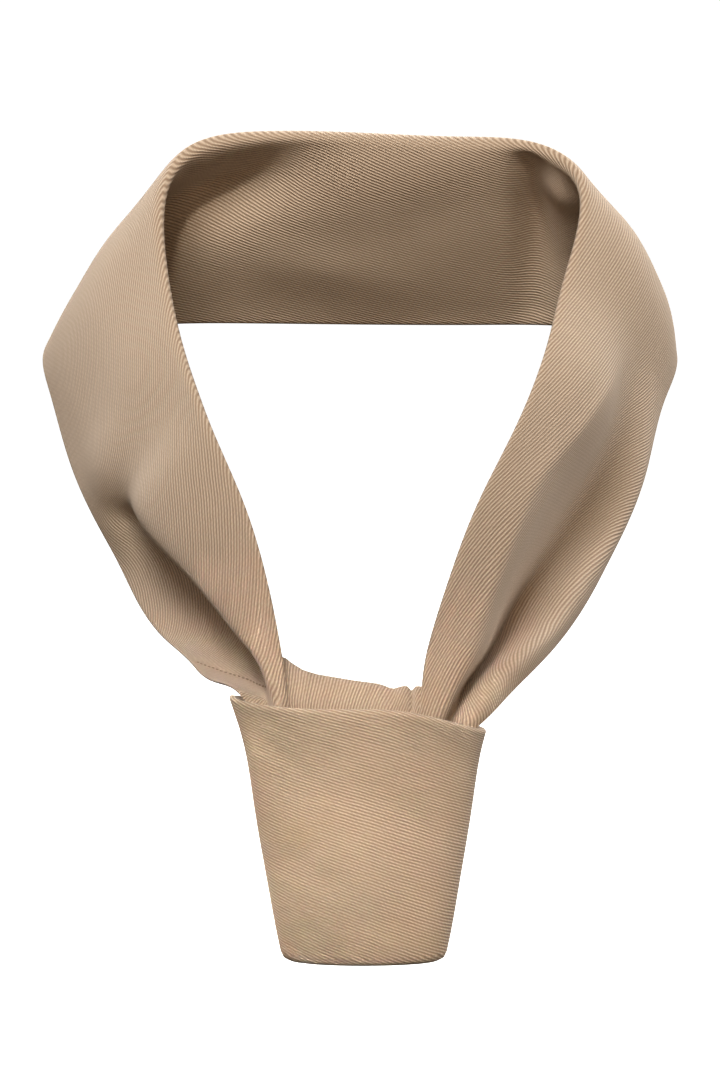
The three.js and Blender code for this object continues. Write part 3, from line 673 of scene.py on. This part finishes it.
def twill(name):
    """Matt beige cloth, painted darker as shade between its lines and tinted by its fibres, raised by
    height + fuzz fibres.
    """
    material = bpy.data.materials.new(name)
    material.use_nodes = True
    tree = material.node_tree
    height, fibres = twill_lines(tree)
    # the colour: lighter on the lines' tops, painted shade in the gaps between them, and the fibres' own
    # tone
    share = maths(tree, "ADD", maths(tree, "MULTIPLY", height, LINE_SHADE),
                  maths(tree, "MULTIPLY", fibres, FIBRE_TINT), clamp=True)
    shader = two_tone(tree, share, CLOTH_DEEP, CLOTH_LIGHT)
    relief = add(tree.nodes, "ShaderNodeBump", Strength=1.0, Distance=RELIEF)
    surface = maths(tree, "ADD", height, maths(tree, "MULTIPLY", fibres, FUZZ))
    tree.links.new(surface, relief.inputs["Height"])
    tree.links.new(relief.outputs["Normal"], shader.inputs["Normal"])
    shader.inputs["Roughness"].default_value = 0.72
    shader.inputs["Specular IOR Level"].default_value = 0.2
    shader.inputs["Sheen Weight"].default_value = 0.22
    shader.inputs["Sheen Roughness"].default_value = 0.45
    shader.inputs["Sheen Tint"].default_value = (1.0, 0.92, 0.82, 1)
    return material


cloth = twill("beige twill")
print("twill:", TWILL_PITCH, "mm from line to line,", len(cloth.node_tree.nodes), "nodes")

# %% [markdown]
# ## The sewing thread
#
# The stitches are sewn in a thread a shade deeper than the cloth. It could share the cloth's
# finish, but a bead has no flat map, and the twill's lines would be far too coarse on it. A fine
# noise in the object's own space gives it the broken look of spun thread.

# %% The thread's material
THREAD_LIGHT = (0.34, 0.235, 0.15, 1)
THREAD_DEEP = (0.17, 0.105, 0.06, 1)


def thread(name):
    """Matt sewing thread, between its two colours by a noise under half a millimetre fine."""
    material = bpy.data.materials.new(name)
    material.use_nodes = True
    tree = material.node_tree
    place = tree.nodes.new("ShaderNodeTexCoord")
    grain = add(tree.nodes, "ShaderNodeTexNoise", Scale=2600.0, Detail=2.0)
    tree.links.new(place.outputs["Object"], grain.inputs["Vector"])
    shader = two_tone(tree, grain.outputs["Fac"], THREAD_DEEP, THREAD_LIGHT)
    shader.inputs["Roughness"].default_value = 0.6
    shader.inputs["Sheen Weight"].default_value = 0.15
    return material


sewing = thread("beige thread")

# %% Hand the pieces over
for piece, node, finish in (
    (neck_band, "neck_band", cloth), (knot_wrap, "knot_wrap", cloth), (tuck_pass, "tuck_pass", cloth),
    (stitches, "neck_band", sewing),
):
    piece.data.materials.append(finish)
    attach(piece, "root")
    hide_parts(node)
    print(piece.name, "stands for", node, "in", finish.name)

# %% [markdown]
# ## The pieces of cloth
#
# The band, the wrap and the tuck are folded strips of one triangle.

# %% [markdown]
# ## Camera
#
# The nape's top edge is seen over the front of the loop, so the camera looks down on it by about
# 15 degrees, straight from the front, with a long lens: the band keeps its width from front to
# back. The distance and the angle of view put 0.30 mm of the object in each pixel of a
# 720 x 1092 picture at the middle of the scarf.

# %% Set the camera
PICTURE = (720, 1092)
AIM = Vector((0, 0, -0.042))
DISTANCE = 1.6
LOOK_DOWN = math.radians(15)
PIXEL = 0.00030

lens = bpy.data.cameras.new("camera")
lens.sensor_fit = "AUTO"
lens.sensor_width = 36
lens.lens = lens.sensor_width / 2 / (PICTURE[1] * PIXEL / 2 / DISTANCE)
lens.clip_end = 50
camera = bpy.data.objects.new("camera", lens)
bpy.context.scene.collection.objects.link(camera)
back = Vector((0, -math.cos(LOOK_DOWN), math.sin(LOOK_DOWN)))
camera.location = AIM + back * DISTANCE
camera.rotation_mode = "QUATERNION"
camera.rotation_quaternion = (-back).to_track_quat("-Z", "Y")
bpy.context.scene.camera = camera
print("lens, mm:", round(lens.lens, 1))

# %% [markdown]
# ## Studio
#
# A large soft key light stands high in front, a little to the left. It makes the arms bright,
# rakes across the twill so its lines show, and leaves the folds and the inside of the nape in
# shade. A weak warm light from the front keeps those shadows brown. Lights from the sides and
# from behind draw the pale outer edges of the arms. Two narrow beams, on the knot and on the
# nape, lift what the key alone leaves too dark. The floor and the wall are one white cove, far
# enough below and behind to take no shadow in the picture.

# %% Lights
def soft_light(name, direction, distance, size, watts, colour=(1, 1, 1), aim=AIM, beam=180):
    """A square soft light that looks at aim from direction (azimuth, elevation), in degrees.

    Distance and size are in metres, and beam is the full angle, in degrees, that it shines in."""
    azimuth, elevation = (math.radians(a) for a in direction)
    level = math.cos(elevation)
    towards = Vector((math.sin(azimuth) * level, -math.cos(azimuth) * level, math.sin(elevation)))
    data = bpy.data.lights.new(name, "AREA")
    data.size = size
    data.energy = watts
    data.color = colour
    data.spread = math.radians(beam)
    light = bpy.data.objects.new(name, data)
    light.location = aim + towards * distance
    light.rotation_mode = "QUATERNION"
    light.rotation_quaternion = (-towards).to_track_quat("-Z", "Y")
    bpy.context.scene.collection.objects.link(light)
    return light


WARM = (1, 0.76, 0.60)
# the two beams' own targets, in metres
KNOT_MIDDLE = Vector((-0.004, -0.078, -0.112))
NAPE_MIDDLE = Vector((0, 0.075, 0.035))
soft_light("key", (-18, 55), 1.9, 0.7, 28)
soft_light("front", (0, 10), 1.9, 0.9, 7, (1, 0.80, 0.63))
soft_light("knot", (-18, 42), 1.2, 0.1, 0.038, (1, 0.95, 0.90), KNOT_MIDDLE, 7)
soft_light("nape", (0, 48), 1.9, 0.2, 0.042, (1, 0.92, 0.84), NAPE_MIDDLE, 4.4)
soft_light("left", (-60, 12), 1.9, 0.9, 1, WARM)
soft_light("right", (60, 12), 1.9, 0.9, 1, WARM)
soft_light("left side", (-125, 20), 1.9, 0.9, 6)
soft_light("right side", (110, 12), 1.9, 0.9, 24)
soft_light("left rim", (-150, 30), 1.9, 0.9, 34)
soft_light("right rim", (150, 30), 1.9, 0.9, 28)

# %% Ambient light
world = bpy.data.worlds.new("studio")
bpy.context.scene.world = world
world.use_nodes = True
world.node_tree.nodes["Background"].inputs["Color"].default_value = (1, 0.8, 0.6, 1)
world.node_tree.nodes["Background"].inputs["Strength"].default_value = 0.02

# %% [markdown]
# ## Floor and wall
#
# The picture's ground is plain white with no line where the floor ends. A floor and a wall would
# meet in a corner, so one surface bends up from the one to the other. It glows by itself, and
# the cloth doesn't see it, so it neither takes a shadow nor throws white light on the folds.

# %% Floor and wall
FLOOR = -0.70                                   # m
COVE_RADIUS, COVE_BEND, COVE_TOP = 5.0, 1.2, 6.0
FLAT_RINGS = [0.01, 1, 2, 3]                    # m, the radii of the floor's flat rings
BEND_STEPS, COVE_SIDES = 16, 96


def cove():
    """A floor that bends up into a round wall: the profile is flat, a quarter circle, upright.

    Its points are radius (cos, sin) of the angle, with one flat face in the middle of the floor."""
    turn = np.linspace(0, math.pi / 2, BEND_STEPS)
    bend_radius = COVE_RADIUS - COVE_BEND + COVE_BEND * np.sin(turn)
    bend_rise = COVE_BEND - COVE_BEND * np.cos(turn)
    radius = np.concatenate([FLAT_RINGS, bend_radius, [COVE_RADIUS]])
    rise = np.concatenate([np.zeros(len(FLAT_RINGS)), bend_rise, [COVE_TOP]]) + FLOOR
    angle = np.linspace(0, 2 * math.pi, COVE_SIDES, endpoint=False)[:, None]
    points = np.stack(np.broadcast_arrays(radius * np.cos(angle), radius * np.sin(angle), rise), -1)
    n, m = points.shape[:2]
    i, j = np.meshgrid(np.arange(n), np.arange(m - 1), indexing="ij")
    i2 = (i + 1) % n
    quads = np.stack([i * m + j, i * m + j + 1, i2 * m + j + 1, i2 * m + j], -1).reshape(-1, 4)
    middle = [list(range(0, n * m, m))]
    mesh = bpy.data.meshes.new("cove")
    mesh.from_pydata(points.reshape(-1, 3).tolist(), [], quads.tolist() + middle)
    mesh.polygons.foreach_set("use_smooth", np.ones(len(quads) + 1, bool))
    return mesh


# %% The cove in the picture
white = bpy.data.materials.new("white cove")
white.use_nodes = True
paint = white.node_tree.nodes["Principled BSDF"]
paint.inputs["Base Color"].default_value = (0.9, 0.9, 0.9, 1)
paint.inputs["Roughness"].default_value = 0.9
paint.inputs["Emission Color"].default_value = (1, 1, 1, 1)
paint.inputs["Emission Strength"].default_value = 1.0
backdrop = bpy.data.objects.new("cove", cove())
backdrop.data.materials.append(white)
backdrop.visible_diffuse = False
backdrop.visible_glossy = False
bpy.context.scene.collection.objects.link(backdrop)
bpy.context.scene.view_settings.view_transform = "Standard"
